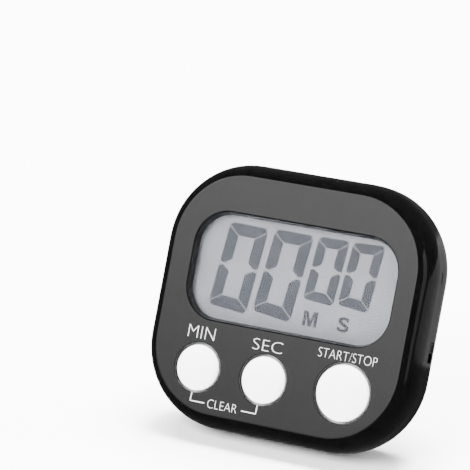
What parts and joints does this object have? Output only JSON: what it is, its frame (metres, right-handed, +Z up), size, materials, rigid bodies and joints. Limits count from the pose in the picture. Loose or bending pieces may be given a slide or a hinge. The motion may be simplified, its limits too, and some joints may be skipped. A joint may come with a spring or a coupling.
{
  "type": "digital kitchen timer",
  "caption": "Digital countdown timer with a large display window, round push buttons, a magnet back and a fold-out stand.",
  "frame": {"origin": "centre of the bounding box, on the surface the timer stands on, with the case leaning back on its open stand", "axes": "+X to the right as seen from the front, -Y towards the viewer, +Z up"},
  "size_m": [0.08, 0.0478, 0.0704],
  "materials": {
    "case_gloss": "glossy moulded black ABS",
    "cover_matte": "fine satin black ABS",
    "clear_lens": "clear moulded window",
    "lcd": "pale grey reflective display glass",
    "reflector": "satin film",
    "white_plastic": "natural white",
    "silicone_pink": "soft layered strip",
    "silicone_grey": "moulded silicone",
    "button_white": "smooth white ABS",
    "board": "green solder mask",
    "epoxy": "poured black epoxy",
    "steel": "zinc plated",
    "nickel": "nickel plated",
    "brass": "rolled brass",
    "chip_ceramic": "fired ceramic",
    "knob_black": "satin",
    "cell_jacket": "plain printed jacket",
    "magnet_ferrite": "dark sintered face",
    "wire_red": "PVC",
    "wire_black": "PVC"
  },
  "bodies": {
    "case": {"front_housing": "case_gloss", "rear_cover": "cover_matte", "display_lens": "clear_lens", "lcd_glass": "lcd", "lcd_reflector": "reflector", "lcd_frame": "white_plastic", "zebra_connector": "silicone_pink", "keypad_membrane": "silicone_grey", "circuit_board": "board", "chip_blob": "epoxy", "crystal": "steel", "capacitor_1": "chip_ceramic", "capacitor_2": "chip_ceramic", "resistor_1": "chip_ceramic", "resistor_2": "chip_ceramic", "case_screw_top_left": "steel", "case_screw_top_right": "steel", "case_screw_bottom_left": "steel", "case_screw_bottom_right": "steel", "board_screw_1": "steel", "board_screw_2": "steel", "board_screw_3": "steel", "switch_body": "steel", "battery_cell": "cell_jacket", "battery_spring": "nickel", "battery_contact_minus": "nickel", "battery_contact_plus": "nickel", "magnet": "magnet_ferrite", "piezo_disc": "brass", "piezo_ceramic": "chip_ceramic", "sounder_wire_red": "wire_red", "sounder_wire_black": "wire_black"},
    "button_min": {"button_min": "button_white"},
    "button_sec": {"button_sec": "button_white"},
    "button_start_stop": {"button_start_stop": "button_white"},
    "switch_knob": {"switch_knob": "knob_black"},
    "stand": {"stand": "cover_matte"},
    "battery_door": {"battery_door": "cover_matte"}
  },
  "joints": [
    {"name": "button_min_press", "type": "slide", "parent": "case", "child": "button_min", "axis": [0, 0.9135, -0.4067], "range_m": [0, 0.0008], "stiffness_N_per_m": 1200, "springref_m": -0.0004},
    {"name": "button_sec_press", "type": "slide", "parent": "case", "child": "button_sec", "axis": [0, 0.9135, -0.4067], "range_m": [0, 0.0008], "stiffness_N_per_m": 1200, "springref_m": -0.0004},
    {"name": "button_start_stop_press", "type": "slide", "parent": "case", "child": "button_start_stop", "axis": [0, 0.9135, -0.4067], "range_m": [0, 0.0008], "stiffness_N_per_m": 1200, "springref_m": -0.0004},
    {"name": "switch_slide", "type": "slide", "parent": "case", "child": "switch_knob", "axis": [0, 0.4067, 0.9135], "range_m": [-0.0024, 0]},
    {"name": "stand_hinge", "type": "hinge", "parent": "case", "child": "stand", "pos_m": [0, 0.01076, 0.04026], "axis": [1, 0, 0], "range_deg": [-40.55, 0]},
    {"name": "battery_door_slide", "type": "slide", "parent": "case", "child": "battery_door", "axis": [0, 0.4067, 0.9135], "range_m": [0, 0.02]}
  ]
}
